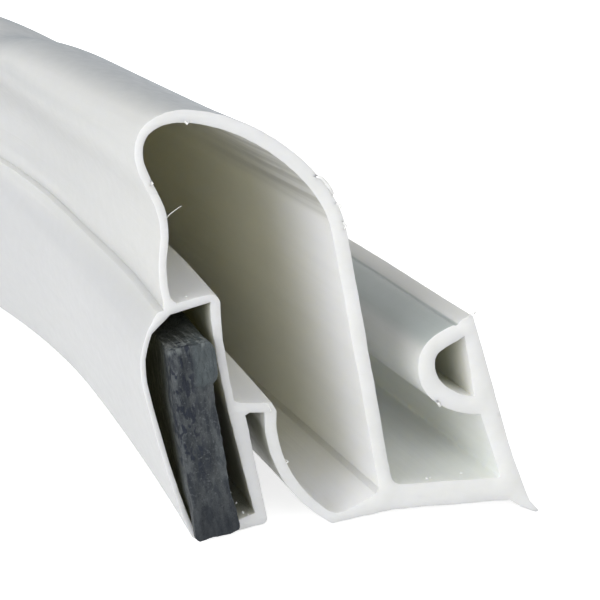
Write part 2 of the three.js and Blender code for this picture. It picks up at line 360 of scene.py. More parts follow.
def tuck_share(x, y):
    pocket_side = POCKET_WIDTH / math.cos(POCKET_LEAN) - y * math.tan(POCKET_LEAN)
    wall_side = HEEL_TO_CHANNEL - (y - SEAT_TOP) * math.tan(MAIN_WALL_LEAN) - MAIN_WALL_THICKNESS
    still_side = min(HEEL_TO_CHANNEL - SEAT_OVERHANG, wall_side)
    across = 1 - smooth_step(x, min(pocket_side, still_side - 1), still_side)
    return across * (1 - smooth_step(y, POCKET_ROOF, SEAL_HEIGHT))


def carry(x, y, distance):
    settled = 1 - math.exp(-max(distance, 0) / SETTLE_LENGTH)
    across = x + POCKET_TUCK * settled * tuck_share(x, y) - ORIGIN_ACROSS
    height = y - CROWN_SAG * settled * smooth_step(y, POCKET_ROOF, SEAL_HEIGHT) - SEAT_CLEARANCE
    lead = min(distance, STRAIGHT_LEAD)
    turn = (distance - lead) / BEND_RADIUS
    reach = BEND_RADIUS + ORIGIN_ACROSS + across
    return Vector((
        across - reach * (1 - math.cos(turn)),
        lead + reach * math.sin(turn) - ORIGIN_BEHIND_CUT,
        height)) * MM


# The soft walls have wandered a little since the strip left its die: long low waves, strongest on
# the bubble, and one shallow dent across the crown where the run starts to bend. The crease between
# bubble and pocket softens away from the cut.
WAVE_HEIGHT = 0.13
WAVE_LENGTH = 11
DENT_DEPTH = 0.5
DENT_PLACE = 25
DENT_LENGTH = 3.2
CREASE_FILL = 0.6
CREASE_SPREAD = 1.1
# The waves, the cut's rough edge and the magnet's torn end take vectors of noise, whose seed is set,
# so that each run gives the same shape.
NOISE_SEED = 1
noise.seed_set(NOISE_SEED)


def wander(x, y, distance):
    slack = mix(0.2, 1, smooth_step(y, SEAT_TOP, POCKET_ROOF)) * smooth_step(distance, 0, 9)
    spot = Vector((x, y, distance)) / WAVE_LENGTH
    wave = noise.noise_vector(spot) * WAVE_HEIGHT * slack
    dent = DENT_DEPTH * math.exp(-((distance - DENT_PLACE) / DENT_LENGTH) ** 2)
    dent *= smooth_step(y, SEAL_HEIGHT - 3.5, SEAL_HEIGHT - 0.5) * (1 - smooth_step(x, -1, 4))
    fill = CREASE_FILL * math.exp(-((y - crease.y) / CREASE_SPREAD) ** 2)
    fill *= smooth_step(distance, 3, 26) * (1 - smooth_step(x, crease.x, crease.x + 0.8))
    return x + wave.x - fill, y + wave.y - dent, distance


def spaced(loop, spacing):
    points = []
    for i, point in enumerate(loop):
        before = loop[i - 1]
        steps = max(1, round((point - before).length / spacing))
        points += [before.lerp(point, (step + 1) / steps) for step in range(steps)]
    return points


def ring_places(start, end):
    places = [start + step for step in (0, 0.06, 0.2, 0.5)]
    while places[-1] < end - 1.5:
        places.append(places[-1] + (0.7 if places[-1] < 36 else 1.4))
    return places + [end]


def extrude_section(loops, places, spacing, near_end=True):
    mesh = bmesh.new()
    girth = mesh.verts.layers.float.new("girth")
    run = mesh.verts.layers.float.new("run")
    inside = mesh.verts.layers.float.new("inside")
    edges = []
    for number, loop in enumerate(loops):
        length = 0
        corners = []
        for point in spaced(loop, spacing):
            corner = mesh.verts.new((point.x, places[0], point.y))
            length += (corner.co - corners[-1].co).length if corners else 0
            corner[girth] = length + number * 100
            corner[inside] = number
            corners.append(corner)
        edges += [mesh.edges.new((corners[i - 1], corner)) for i, corner in enumerate(corners)]
    if near_end:
        bmesh.ops.triangle_fill(mesh, use_beauty=True, edges=edges)
    for here, there in zip(places, places[1:]):
        made = bmesh.ops.extrude_edge_only(mesh, edges=edges)["geom"]
        edges = [item for item in made if isinstance(item, bmesh.types.BMEdge) and len(item.link_faces) == 1]
        corners = {corner for edge in edges for corner in edge.verts}
        bmesh.ops.translate(mesh, verts=list(corners), vec=(0, there - here, 0))
    bmesh.ops.triangle_fill(mesh, use_beauty=True, edges=edges)
    for corner in mesh.verts:
        corner[run] = corner.co.y
    bmesh.ops.recalc_face_normals(mesh, faces=mesh.faces)
    return mesh


def finish_piece(mesh, name, materials, sharp):
    data = bpy.data.meshes.new(name)
    mesh.to_mesh(data)
    mesh.free()
    for material in materials:
        data.materials.append(material)
    data.shade_smooth()
    data.set_sharp_from_angle(angle=math.radians(sharp))
    piece = bpy.data.objects.new(name, data)
    bpy.context.collection.objects.link(piece)
    return piece


profile_mesh = extrude_section(
    [outer_loop, bubble_hollow, pocket_hollow, bulb_hollow], ring_places(0, RUN_LENGTH), POINT_SPACING)

# Painted light and shade by place, each a share from 0 to 1 on the corners: painted light that makes the
# retaining channel lighter and greener, painted shade, olive, in the pocket and in the notch beside it, and
# painted shade under the roof, on the blue-grey rim of the crown and on the top of the bulb. The heights are
# over the floor, in millimetres.
BUBBLE_LOOP = 1
POCKET_LOOP = 2
CHANNEL_TOLERANCE = 0.05
CHANNEL_START = 0.2
CHANNEL_LIGHT_FADE = (7.0, 9.6)
CHANNEL_LIGHT_FADE_SHARE = 1.2
NOTCH_TOP = 5.4
NOTCH_SHADE = 0.95
NOTCH_SHADE_RISE = (1.2, 3.8)
ROOF_SHADE_ACROSS = (-2.5, 1.5)
ROOF_SHADE_RISE = (15.25, 15.6)
CROWN_SHADE_RISE = (17.6, 19)
BULB_SHADE_RISE = (8.8, 9.6)
BULB_SHADE_END = (10.2, 10.5)
channel = profile_mesh.verts.layers.float.new("channel")
recess_shade = profile_mesh.verts.layers.float.new("recess_shade")
roof_shade = profile_mesh.verts.layers.float.new("roof_shade")
crown_rim_shade = profile_mesh.verts.layers.float.new("crown_rim_shade")
bulb_top_shade = profile_mesh.verts.layers.float.new("bulb_top_shade")
inside = profile_mesh.verts.layers.float["inside"]
for corner in profile_mesh.verts:
    x, distance, y = corner.co
    outside = corner[inside] == 0
    from_foot = Vector((x, y)) - retainer_foot
    past_wall = (x - HEEL_TO_CHANNEL) * math.cos(MAIN_WALL_LEAN) + (y - SEAT_TOP) * math.sin(MAIN_WALL_LEAN)
    before_retainer = from_foot.x * math.cos(RETAINER_LEAN) + from_foot.y * math.sin(RETAINER_LEAN)
    between_walls = past_wall > -CHANNEL_TOLERANCE and before_retainer < CHANNEL_TOLERANCE
    in_channel = outside and between_walls and y > SEAT_TOP - 2 * CHANNEL_TOLERANCE
    # Painted light: the channel is painted lighter than the rest of the outer skin, fading out towards its
    # top.
    if in_channel and x > HEEL_TO_CHANNEL + CHANNEL_START:
        corner[channel] = 1 - CHANNEL_LIGHT_FADE_SHARE * smooth_step(y, *CHANNEL_LIGHT_FADE)
    # Painted shade on the top of the bulb.
    if in_channel:
        corner[bulb_top_shade] = smooth_step(y, *BULB_SHADE_RISE) * (1 - smooth_step(y, *BULB_SHADE_END))
    # Painted shade in the notch beside the pocket, darker higher up.
    in_notch = outside and POCKET_WIDTH / 2 < x < HEEL_TO_CHANNEL - SEAT_OVERHANG - CHANNEL_START
    if in_notch and y < NOTCH_TOP:
        corner[recess_shade] = NOTCH_SHADE * smooth_step(y, *NOTCH_SHADE_RISE)
    # Painted shade over the pocket's hollow.
    if corner[inside] == POCKET_LOOP:
        corner[recess_shade] = 1
    # Painted shade on the underside of the roof.
    if corner[inside] == BUBBLE_LOOP:
        corner[roof_shade] = smooth_step(x, *ROOF_SHADE_ACROSS) * smooth_step(y, *ROOF_SHADE_RISE)
    # Painted shade near the crown's top, which the material darkens where it is seen edge-on.
    if outside:
        corner[crown_rim_shade] = smooth_step(y, *CROWN_SHADE_RISE)

# The knife left the two ends slightly uneven, with their edges barely broken.
EDGE_BREAK = 0.035
CUT_RAGGED = 0.026
RAGGED_PER_MM = 3.1
CUT_WAVE = 0.06
WAVES_PER_MM = 0.35
KNIFE_REACH = 0.25
CUT_SLOT = 1
for corner in profile_mesh.verts:
    x, distance, y = corner.co
    rough = math.exp(-min(distance, RUN_LENGTH - distance) / KNIFE_REACH)
    jag = noise.noise_vector(Vector((x, y, distance * 0.2)) * RAGGED_PER_MM) * CUT_RAGGED * rough
    wave = noise.noise(Vector((x, y, 3.7)) * WAVES_PER_MM) * CUT_WAVE * rough
    corner.co = (x + jag.x, distance + wave, y + jag.y)
cut_edges = []
for edge in profile_mesh.edges:
    ends = {round(face.normal.y) for face in edge.link_faces}
    if len(ends) == 2 and 0 in ends:
        cut_edges.append(edge)
for face in profile_mesh.faces:
    face.material_index = CUT_SLOT if abs(face.normal.y) > 0.7 else 0
bmesh.ops.bevel(
    profile_mesh, geom=cut_edges, offset=EDGE_BREAK, offset_type="OFFSET", affect="EDGES",
    segments=2, profile=0.5, material=-1, clamp_overlap=True)

# Slivers hang where the knife tore out of the PVC. Each row is a thickness and a path over the cut,
# as x, y and the distance along the run.
SLIVERS = [
    (0.075, [
        (3.36, 17.34, 0.1), (3.66, 17.28, -0.06), (4.0, 17.0, -0.1), (4.3, 16.66, -0.04), (4.42, 16.5, 0.1)]),
    (0.06, [(4.6, 16.12, 0.08), (4.86, 16.04, -0.06), (4.86, 15.84, 0.06)]),
    (0.06, [(5.1, 15.3, 0.08), (5.28, 15.08, -0.05), (5.22, 14.9, 0.07)]),
    (0.013, [(-3.45, 15.2, 0.1), (-3.3, 15.55, -0.1), (-2.95, 15.86, -0.15), (-2.82, 15.9, -0.1)]),
    (0.05, [(-3.1, 19.52, 0.06), (-2.98, 19.42, -0.04), (-2.86, 19.5, 0.06)]),
    (0.045, [(-4.3, 16.95, 0.06), (-4.2, 16.83, -0.03), (-4.27, 16.7, 0.06)]),
    (0.04, [(2.36, 6.72, 0.08), (2.62, 6.66, -0.08), (2.8, 6.36, -0.04), (2.84, 6.2, 0.08)]),
    (0.045, [(4.0, 3.8, 0.06), (4.08, 3.74, -0.05), (4.0, 3.6, 0.06)]),
    (0.035, [(12.36, 10.5, 0.05), (12.6, 10.66, -0.04), (12.8, 10.8, 0.05)]),
    (0.04, [(12.85, 10.82, 0.05), (13.02, 10.97, -0.06), (13.0, 10.8, 0.05)]),
    (0.075, [(12.0, 6.1, 0.1), (11.84, 6.26, 0.02), (11.7, 6.42, 0.1)])]
SLIVER_SIDES = 7
SHRED_SLOT = 2
for thickness, path in SLIVERS:
    spots = [Vector((x, distance, y)) for x, y, distance in path]
    heading = (spots[-1] - spots[0]).to_track_quat("Z", "Y").to_matrix().to_4x4()
    ring = bmesh.ops.create_circle(
        profile_mesh, cap_ends=True, segments=SLIVER_SIDES, radius=thickness,
        matrix=Matrix.Translation(spots[0]) @ heading)["verts"]
    edges = list(dict.fromkeys(edge for corner in ring for edge in corner.link_edges))
    shred_faces = {face for edge in edges for face in edge.link_faces}
    for here, there in zip(spots, spots[1:]):
        made = bmesh.ops.extrude_edge_only(profile_mesh, edges=edges)["geom"]
        edges = [item for item in made if isinstance(item, bmesh.types.BMEdge) and len(item.link_faces) == 1]
        shred_faces.update(item for item in made if isinstance(item, bmesh.types.BMFace))
        ring = list({corner for edge in edges for corner in edge.verts})
        bmesh.ops.translate(profile_mesh, verts=ring, vec=there - here)
    shred_faces.update(bmesh.ops.holes_fill(profile_mesh, edges=edges, sides=0)["faces"])
    for shred_face in shred_faces:
        shred_face.material_index = SHRED_SLOT

# Crumbs that the knife dropped, each with its radius, then x, y and the distance along the run.
CRUMBS = [
    (0.07, 15.48, 5.5, 0.1), (0.06, 11.96, 2.3, 0.1), (0.045, 12.3, 2.2, 0.3), (0.05, 14.2, 2.25, 0.5),
    (0.07, 2.25, 1.12, 0.3), (0.05, 2.45, 1.1, 0.1), (0.05, 1.94, 1.5, 0.6), (0.06, 1.68, 1.9, 0.9),
    (0.045, -1.96, 11.75, 0.3)]
CRUMB_LUMPS = 0.5
for radius, x, y, distance in CRUMBS:
    made = bmesh.ops.create_icosphere(profile_mesh, subdivisions=2, radius=radius)["verts"]
    for corner in made:
        lump = 1 + noise.noise(corner.co / radius + Vector((x, y, 0))) * CRUMB_LUMPS
        corner.co = corner.co * lump + Vector((x, distance, y))
        for shred_face in corner.link_faces:
            shred_face.material_index = SHRED_SLOT
for corner in profile_mesh.verts:
    corner.co = carry(*wander(corner.co.x, corner.co.z, corner.co.y))
bmesh.ops.recalc_face_normals(profile_mesh, faces=profile_mesh.faces)


def add_node(tree, kind, settings=None, **inputs):
    node = tree.nodes.new(kind)
    for name, value in (settings or {}).items():
        setattr(node, name, value)
    for name, value in inputs.items():
        node.inputs[name.replace("_", " ")].default_value = value
    return node


def start_material(name):
    material = bpy.data.materials.new(name)
    material.use_nodes = True
    return material.node_tree, material.node_tree.nodes["Principled BSDF"], material


def start_group(name, inputs, outputs):
    group = bpy.data.node_groups.new(name, "ShaderNodeTree")
    for socket, kind, value in inputs:
        made = group.interface.new_socket(socket, in_out="INPUT", socket_type=kind)
        made.default_value = value
    for socket, kind in outputs:
        group.interface.new_socket(socket, in_out="OUTPUT", socket_type=kind)
    return group, group.nodes.new("NodeGroupInput"), group.nodes.new("NodeGroupOutput")


def place_group(tree, group, **inputs):
    node = tree.nodes.new("ShaderNodeGroup")
    node.node_tree = group
    for name, value in inputs.items():
        node.inputs[name.replace("_", " ")].default_value = value
    return node


# Clouding: soft blotches in Object coordinates, Size in millimetres.
clouding, clouding_in, clouding_out = start_group(
    "clouding",
    [
        ("Size", "NodeSocketFloat", 4), ("Turn", "NodeSocketFloat", 0), ("Detail", "NodeSocketFloat", 3),
        ("Stretch", "NodeSocketVector", (1, 1, 1))],
    [("Cloud", "NodeSocketFloat")])
place = add_node(clouding, "ShaderNodeTexCoord")
turned = add_node(clouding, "ShaderNodeVectorRotate", {"rotation_type": "Y_AXIS"})
stretch = add_node(clouding, "ShaderNodeVectorMath", {"operation": "MULTIPLY"})
per_size = add_node(clouding, "ShaderNodeMath", {"operation": "DIVIDE"})
per_size.inputs[0].default_value = 1 / MM
scaled = add_node(clouding, "ShaderNodeVectorMath", {"operation": "SCALE"})
cloud = add_node(clouding, "ShaderNodeTexNoise", Scale=1.0, Roughness=0.55)
link = clouding.links.new
link(place.outputs["Object"], turned.inputs["Vector"])
link(clouding_in.outputs["Turn"], turned.inputs["Angle"])
link(turned.outputs["Vector"], stretch.inputs[0])
link(clouding_in.outputs["Stretch"], stretch.inputs[1])
link(stretch.outputs[0], scaled.inputs[0])
link(clouding_in.outputs["Size"], per_size.inputs[1])
link(per_size.outputs[0], scaled.inputs["Scale"])
link(scaled.outputs[0], cloud.inputs["Vector"])
link(clouding_in.outputs["Detail"], cloud.inputs["Detail"])
link(cloud.outputs["Fac"], clouding_out.inputs["Cloud"])

# Die lines: faint lines that the die draws along the whole run, spaced round the section's girth.
die_lines, die_in, die_out = start_group(
    "die_lines",
    [("Spacing", "NodeSocketFloat", 0.5), ("Along", "NodeSocketFloat", 0.02)],
    [("Line", "NodeSocketFloat")])
girth = add_node(die_lines, "ShaderNodeAttribute", {"attribute_name": "girth"})
run = add_node(die_lines, "ShaderNodeAttribute", {"attribute_name": "run"})
girth_step = add_node(die_lines, "ShaderNodeMath", {"operation": "DIVIDE"})
run_step = add_node(die_lines, "ShaderNodeMath", {"operation": "MULTIPLY"})
line_place = add_node(die_lines, "ShaderNodeCombineXYZ")
line = add_node(die_lines, "ShaderNodeTexNoise", {"noise_dimensions": "2D"}, Scale=1.0, Detail=4.0)
link = die_lines.links.new
link(girth.outputs["Fac"], girth_step.inputs[0])
link(die_in.outputs["Spacing"], girth_step.inputs[1])
link(run.outputs["Fac"], run_step.inputs[0])
link(die_in.outputs["Along"], run_step.inputs[1])
link(girth_step.outputs[0], line_place.inputs["X"])
link(run_step.outputs[0], line_place.inputs["Y"])
link(line_place.outputs[0], line.inputs["Vector"])
link(line.outputs["Fac"], die_out.inputs["Line"])


# The colour sockets of a Mix node, which share their names with its other kinds.
MIX_SHARE, MIX_FIRST, MIX_SECOND = 0, 6, 7
MIX_RESULT = 2


def blend_colours(tree, share, first, second):
    node = add_node(tree, "ShaderNodeMix", {"data_type": "RGBA"})
    for value, socket in ((share, MIX_SHARE), (first, MIX_FIRST), (second, MIX_SECOND)):
        if isinstance(value, bpy.types.NodeSocket):
            tree.links.new(value, node.inputs[socket])
        else:
            node.inputs[socket].default_value = value
    return node.outputs[MIX_RESULT]


def remap(tree, source, low, high, to_low, to_high):
    node = add_node(tree, "ShaderNodeMapRange", From_Min=low, From_Max=high, To_Min=to_low, To_Max=to_high)
    tree.links.new(source, node.inputs["Value"])
    return node.outputs["Result"]


def multiply(tree, *values):
    product = values[0]
    for value in values[1:]:
        node = add_node(tree, "ShaderNodeMath", {"operation": "MULTIPLY"})
        tree.links.new(product, node.inputs[0])
        tree.links.new(value, node.inputs[1])
        product = node.outputs[0]
    return product


def bump(tree, shader, *layers):
    normal = None
    for height, depth in layers:
        node = add_node(tree, "ShaderNodeBump", Strength=1.0, Distance=depth * MM)
        tree.links.new(height, node.inputs["Height"])
        if normal:
            tree.links.new(normal, node.inputs["Normal"])
        normal = node.outputs["Normal"]
    tree.links.new(normal, shader.inputs["Normal"])


def let_light_in(shader):
    shader.inputs["Subsurface Weight"].default_value = 0.7
    shader.inputs["Subsurface Radius"].default_value = (1, 0.96, 0.8)
    shader.inputs["Subsurface Scale"].default_value = 1.2 * MM


# Soft white PVC with a satin skin. Inside the hollows the colour is a little warmer and holds painted light
# and
# shade: lighter than the outer skin near the cut, darker and olive deeper along the run.
tree, shader, pvc = start_material("soft_pvc")
shader.inputs["IOR"].default_value = 1.5
shader.inputs["Specular IOR Level"].default_value = 0.4
let_light_in(shader)
inside_number = add_node(tree, "ShaderNodeAttribute", {"attribute_name": "inside"}).outputs["Fac"]
inside_mask = remap(tree, inside_number, 0.1, 0.9, 0.0, 1.0)
wide_cloud = place_group(tree, clouding, Size=7.0, Detail=4.0).outputs["Cloud"]
fine_cloud = place_group(tree, clouding, Size=0.6, Detail=3.0).outputs["Cloud"]
broad_line = place_group(tree, die_lines, Spacing=1.1, Along=0.02).outputs["Line"]
fine_line = place_group(tree, die_lines, Spacing=0.16, Along=0.05).outputs["Line"]
run_place = add_node(tree, "ShaderNodeAttribute", {"attribute_name": "run"}).outputs["Fac"]
# Painted light and shade in the hollows: lighter than the outer skin near the cut, darker and olive deeper
# along the run.
depth_shade_mask = remap(tree, run_place, 2, 9, 0.0, 1.0)
hollow = blend_colours(tree, depth_shade_mask, (0.95, 0.95, 0.93, 1), (0.79, 0.78, 0.68, 1))
# Painted light: the retaining channel is lighter and greener than the rest of the outer skin.
channel_light_mask = add_node(tree, "ShaderNodeAttribute", {"attribute_name": "channel"}).outputs["Fac"]
outer_skin_and_channel_light = blend_colours(tree, channel_light_mask, (0.66, 0.665, 0.65, 1), (0.88, 0.9, 0.865, 1))
skin = blend_colours(tree, inside_mask, outer_skin_and_channel_light, hollow)
# Painted shade, dark olive, in the pocket and the notch, stronger deeper along the run.
recess_shade_place = add_node(tree, "ShaderNodeAttribute", {"attribute_name": "recess_shade"}).outputs["Fac"]
recess_shade_mask = multiply(tree, recess_shade_place, remap(tree, run_place, 0.1, 1.2, 0.35, 0.92))
skin = blend_colours(tree, recess_shade_mask, skin, (0.25, 0.26, 0.185, 1))
# Painted shade on the roof's underside, broken along the die lines, strongest near the cut.
under_roof_shade = add_node(tree, "ShaderNodeAttribute", {"attribute_name": "roof_shade"}).outputs["Fac"]
roof_streak = remap(tree, broad_line, 0.42, 0.58, 1.0, 0.45)
roof_shade_mask = multiply(tree, under_roof_shade, roof_streak, remap(tree, run_place, 14, 5, 0.2, 0.8))
skin = blend_colours(tree, roof_shade_mask, skin, (0.5, 0.5, 0.47, 1))
# Painted shade, olive, inside the bulb's hollow, stronger deeper along the run.
bulb_hollow_shade_mask = multiply(
    tree, remap(tree, inside_number, 2.6, 2.9, 0.0, 1.0), remap(tree, run_place, 0.2, 2.4, 0.1, 0.95))
skin = blend_colours(tree, bulb_hollow_shade_mask, skin, (0.48, 0.49, 0.39, 1))
# Painted shade on the top of the bulb, broken by soft blotches.
bulb_top_shade_place = add_node(tree, "ShaderNodeAttribute", {"attribute_name": "bulb_top_shade"}).outputs["Fac"]
bulb_top_shade_mask = multiply(tree, bulb_top_shade_place, remap(tree, wide_cloud, 0.2, 0.8, 0.6, 0.9))
skin = blend_colours(tree, bulb_top_shade_mask, skin, (0.3, 0.35, 0.34, 1))
# Wear and die lines laid over the painted light and shade.
worn_and_shaded = blend_colours(tree, remap(tree, wide_cloud, 0.35, 0.7, 0.0, 0.10), skin, (0.60, 0.61, 0.60, 1))
lined_and_shaded = blend_colours(tree, remap(tree, broad_line, 0.45, 0.75, 0.0, 0.06), worn_and_shaded, (0.55, 0.56, 0.55, 1))
# Painted shade: seen almost edge-on, the skin of the crown is darkened to a blue-grey tone.
edge_on = add_node(tree, "ShaderNodeLayerWeight", Blend=0.5).outputs["Facing"]
rim = remap(tree, edge_on, 0.66, 1.0, 0.0, 0.95)
crown_place = add_node(tree, "ShaderNodeAttribute", {"attribute_name": "crown_rim_shade"}).outputs["Fac"]
lined_and_shaded = blend_colours(tree, multiply(tree, rim, crown_place), lined_and_shaded, (0.17, 0.215, 0.26, 1))
tree.links.new(lined_and_shaded, shader.inputs["Base Color"])
tree.links.new(remap(tree, fine_cloud, 0.3, 0.7, 0.36, 0.48), shader.inputs["Roughness"])
bump(tree, shader, (broad_line, 0.05), (fine_line, 0.006), (fine_cloud, 0.004))

# The cut: the same PVC without its skin, matt, with the fine scoring of the knife.
tree, shader, cut_pvc = start_material("cut_pvc")
shader.inputs["Specular IOR Level"].default_value = 0.3
let_light_in(shader)
scoring = place_group(tree, clouding, Size=0.5, Stretch=(0.25, 1, 2.2), Detail=5.0).outputs["Cloud"]
patch = place_group(tree, clouding, Size=2.2, Detail=3.0).outputs["Cloud"]
patch_mask = remap(tree, patch, 0.3, 0.7, 0.0, 1.0)
cut_tone = blend_colours(tree, patch_mask, (0.83, 0.835, 0.82, 1), (0.77, 0.775, 0.755, 1))
tree.links.new(cut_tone, shader.inputs["Base Color"])
tree.links.new(remap(tree, scoring, 0.3, 0.7, 0.5, 0.68), shader.inputs["Roughness"])
bump(tree, shader, (scoring, 0.03), (patch, 0.06))

# The shreds are too thin to glow, so they are plain matt PVC.
tree, shader, shred_pvc = start_material("shred_pvc")
shader.inputs["Specular IOR Level"].default_value = 0.25
speck = place_group(tree, clouding, Size=0.4, Detail=3.0).outputs["Cloud"]
speck_mask = remap(tree, speck, 0.35, 0.65, 0.0, 1.0)
shred_tone = blend_colours(tree, speck_mask, (0.9, 0.9, 0.88, 1), (0.8, 0.8, 0.78, 1))
tree.links.new(shred_tone, shader.inputs["Base Color"])
tree.links.new(remap(tree, speck, 0.3, 0.7, 0.5, 0.7), shader.inputs["Roughness"])

profile = finish_piece(profile_mesh, "pvc_profile", [pvc, cut_pvc, shred_pvc], 26)
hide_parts("gasket_profile")
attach(profile, "root")

# Magnet strip
# A flexible bar of bonded ferrite that was pushed into the pocket. It was sheared off together
# with the profile, so its end stands proud, torn, and smeared down over the pocket's floor.
MAGNET_HEIGHT = 9.4
MAGNET_THICKNESS = 1.9
MAGNET_CORNER = 0.25
MAGNET_LEAN = POCKET_LEAN - math.radians(2.5)
MAGNET_PROUD = 0.8
MAGNET_END_GAP = 0.5
LOOSE_FIT = 0.26
MAGNET_SPACING = 0.16
SMEAR_STOP = 0.12

in_magnet = leaning_frame(in_pocket(POCKET_FLOOR_THICKNESS + LOOSE_FIT, LOOSE_FIT), MAGNET_LEAN)
magnet_corners = [
    in_magnet(0, 0),
    in_magnet(MAGNET_HEIGHT, 0),
    in_magnet(MAGNET_HEIGHT, MAGNET_THICKNESS),
    in_magnet(0, MAGNET_THICKNESS)]
magnet_loop = []
for i, corner in enumerate(magnet_corners):
    magnet_loop += rounded(magnet_corners[i - 1], corner, magnet_corners[(i + 1) % 4], MAGNET_CORNER, 4)
magnet_places = [*ring_places(-MAGNET_PROUD, RUN_LENGTH - MAGNET_END_GAP), -SMEAR_STOP]
magnet_mesh = extrude_section([magnet_loop], sorted(magnet_places), MAGNET_SPACING, near_end=False)


def magnet_place(x, y):
    from_foot = Vector((x, y)) - in_magnet(0, 0)
    rise = Vector((-math.sin(MAGNET_LEAN), math.cos(MAGNET_LEAN)))
    return from_foot.dot(rise), from_foot.dot(Vector((rise.y, -rise.x)))


# The torn end is closed with rows of small faces, which are then pushed about.
END_ROWS = 7
END_ROW_WIDTH = 0.13
end_edges = [edge for edge in magnet_mesh.edges if len(edge.link_faces) == 1]
for row in range(1, END_ROWS):
    made = bmesh.ops.extrude_edge_only(magnet_mesh, edges=end_edges)["geom"]
    end_edges = [item for item in made if isinstance(item, bmesh.types.BMEdge) and len(item.link_faces) == 1]
    inset = row * END_ROW_WIDTH
    for corner in {corner for edge in end_edges for corner in edge.verts}:
        up, across = magnet_place(corner.co.x, corner.co.z)
        inner = in_magnet(
            min(max(up, inset), MAGNET_HEIGHT - inset), min(max(across, inset), MAGNET_THICKNESS - inset))
        corner.co = (inner.x, corner.co.y, inner.y)
bmesh.ops.remove_doubles(magnet_mesh, verts=magnet_mesh.verts, dist=0.01)
end_edges = [edge for edge in magnet_mesh.edges if len(edge.link_faces) == 1]
bmesh.ops.holes_fill(magnet_mesh, edges=end_edges, sides=0)
bmesh.ops.triangulate(magnet_mesh, faces=[face for face in magnet_mesh.faces if len(face.verts) > 4])


# The bar rests against the pocket's thin face, and its proud end is dragged down and sideways. A
# lobe at its top right spreads past the side.
REST_SHIFT = 0.46
REST_RISE = (-1.2, 2.2)
REST_TOP_SHARE = 0.55
REST_TOP_RISE = (6, 9.6)
SMEAR_START = 0.4
SMEAR_DOWN = 0.3
SMEAR_SIDEWAYS = 0.3
LOBE_SPREAD = 0.16


def smear(x, y, distance):
    up, across = magnet_place(x, y)
    rest = REST_SHIFT * smooth_step(up, *REST_RISE)
    rest *= mix(1, REST_TOP_SHARE, smooth_step(up, *REST_TOP_RISE))
    proud = 1 - smooth_step(distance, -SMEAR_START, -SMEAR_STOP)
    low_left = (1 - smooth_step(up, 0.2, 2)) * (1 - smooth_step(across, 0.2, 1.6))
    low = 1 - smooth_step(up, 0, 1)
    lobe = smooth_step(up, 7.3, 7.7) * (1 - smooth_step(up, 8.9, 9.4)) * smooth_step(across, 1.2, 1.8)
    spread = LOBE_SPREAD * lobe * proud
    return x - rest - SMEAR_SIDEWAYS * proud * low_left + spread, y - SMEAR_DOWN * proud * low


TEAR_DEPTH = 0.13
FLAP_RISE = 0.16
NIBBLE = 0.045
NIBBLES_PER_MM = 3.4
up_layer = magnet_mesh.verts.layers.float.new("up")
across_layer = magnet_mesh.verts.layers.float.new("across")
for corner in magnet_mesh.verts:
    x, distance, y = corner.co
    up, across = magnet_place(x, y)
    corner[up_layer] = up
    corner[across_layer] = across
    ragged = 1 - smooth_step(distance, -0.75, -0.1)
    tear = noise.fractal(Vector((across * 1.6, up * 0.7, 1.3)), 1, 2, 5) * TEAR_DEPTH
    flap = smooth_step(up, 7.2, 7.4) * smooth_step(across, 0.95, 1.15) * FLAP_RISE
    nibble = noise.noise_vector(Vector((x, y, distance)) * NIBBLES_PER_MM) * NIBBLE * ragged
    x, y = smear(x, y, distance)
    corner.co = (x + nibble.x, distance + ragged * (tear - flap), y + nibble.y)
for corner in magnet_mesh.verts:
    corner.co = carry(corner.co.x, corner.co.z, corner.co.y)
bmesh.ops.recalc_face_normals(magnet_mesh, faces=magnet_mesh.faces)

tree, shader, ferrite = start_material("bonded_ferrite")
shader.inputs["Specular IOR Level"].default_value = 0.3
up_place = add_node(tree, "ShaderNodeAttribute", {"attribute_name": "up"}).outputs["Fac"]
across_place = add_node(tree, "ShaderNodeAttribute", {"attribute_name": "across"}).outputs["Fac"]
run_place = add_node(tree, "ShaderNodeAttribute", {"attribute_name": "run"}).outputs["Fac"]


def lean_cloud(size, stretch, detail):
    node = place_group(tree, clouding, Size=size, Turn=MAGNET_LEAN, Stretch=stretch, Detail=detail)
    return node.outputs["Cloud"]


# The bar's marks run along its height: grain, wide blotches, grit, and a column of pits to the left.
grain = lean_cloud(0.32, (1, 1, 0.28), 6.0)
blotch = lean_cloud(1.5, (1, 1, 0.5), 4.0)
grit = place_group(tree, clouding, Size=0.12, Detail=3.0).outputs["Cloud"]
pits = lean_cloud(0.26, (1, 1, 0.5), 6.0)
shade = blend_colours(
    tree, remap(tree, blotch, 0.38, 0.62, 0.0, 1.0), (0.02, 0.025, 0.029, 1), (0.062, 0.07, 0.074, 1))
left_band = remap(tree, across_place, 0.45, 0.2, 0.0, 0.7)
shade = blend_colours(tree, left_band, shade, (0.088, 0.098, 0.104, 1))
# Painted highlight along the bar's right edge.
right_edge_highlight = remap(tree, across_place, 1.4, 1.6, 0.0, 0.5)
shade = blend_colours(tree, right_edge_highlight, shade, (0.09, 0.102, 0.107, 1))
shade = blend_colours(tree, remap(tree, grain, 0.45, 0.58, 0.0, 0.75), shade, (0.009, 0.013, 0.02, 1))
shade = blend_colours(tree, remap(tree, grit, 0.56, 0.68, 0.0, 0.5), shade, (0.14, 0.15, 0.16, 1))
pit_column = multiply(
    tree,
    remap(tree, pits, 0.5, 0.55, 0.0, 0.95),
    remap(tree, across_place, 1.25, 0.85, 0.0, 1.0),
    remap(tree, up_place, 2.2, 4.0, 0.0, 1.0))
shade = blend_colours(tree, pit_column, shade, (0.006, 0.01, 0.02, 1))
lobe_mask = multiply(
    tree,
    remap(tree, across_place, 0.95, 1.15, 0.0, 0.7),
    remap(tree, up_place, 7.1, 7.4, 0.0, 1.0))
